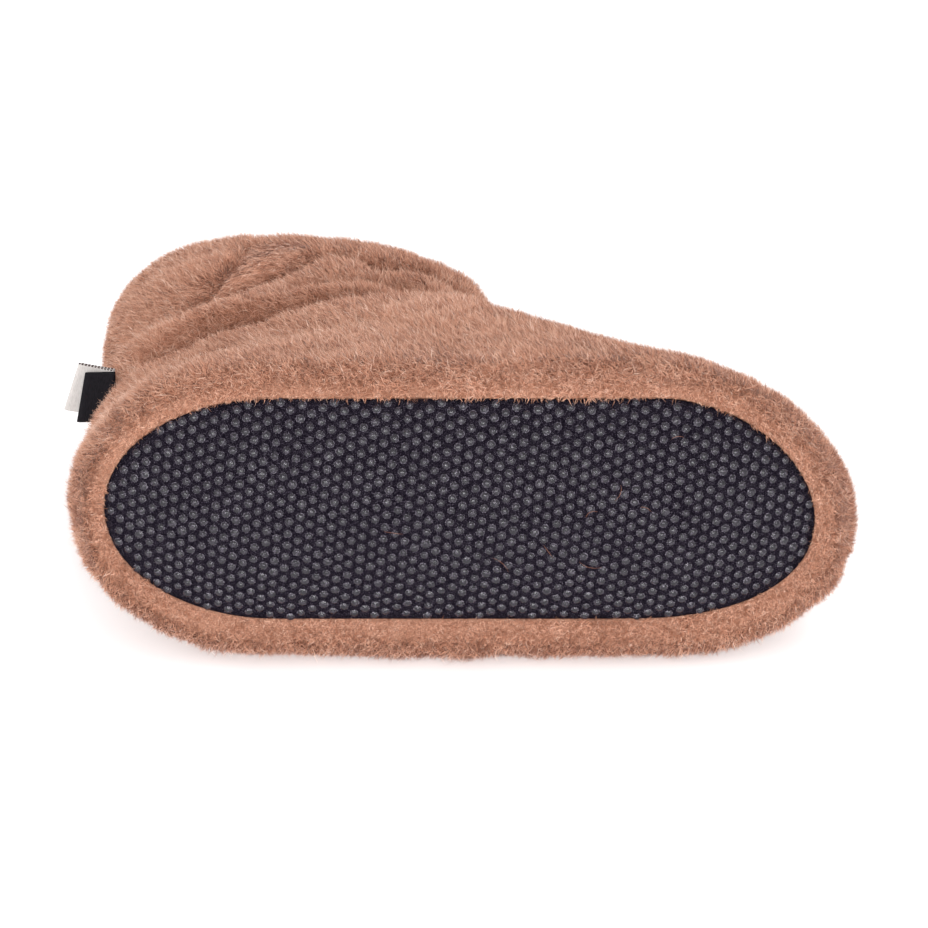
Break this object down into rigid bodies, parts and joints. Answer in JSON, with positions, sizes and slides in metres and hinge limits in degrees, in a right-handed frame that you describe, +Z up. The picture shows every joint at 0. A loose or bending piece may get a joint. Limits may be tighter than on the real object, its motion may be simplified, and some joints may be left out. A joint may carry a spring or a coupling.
{
  "type": "wool slipper",
  "caption": "Soft ankle-high wool pile slipper boot for the right foot, lying on its inner side, with a padded anti-slip fabric sole and plain folded labels at the heel.",
  "frame": {"origin": "centre of the bounding box at the floor the shoe lies on", "axes": "+X from heel to toe, +Z up from the floor towards the shoe's outer side, sole facing -Y and leaning back 15 degrees, shaft along +Y"},
  "size_m": [0.2894, 0.2, 0.1074],
  "materials": {
    "wool": "short brushed wool pile, matt",
    "lining": "short wool pile lining, matt",
    "sole_fabric": "black woven fabric with small clear-black rubber dots",
    "black_ribbon": "black satin ribbon",
    "white_ribbon": "white woven ribbon"
  },
  "bodies": {
    "root": {"upper": "wool", "shaft": "wool", "sole": "sole_fabric", "insole": "lining", "black_label": "black_ribbon", "white_label": "white_ribbon"}
  },
  "joints": []
}
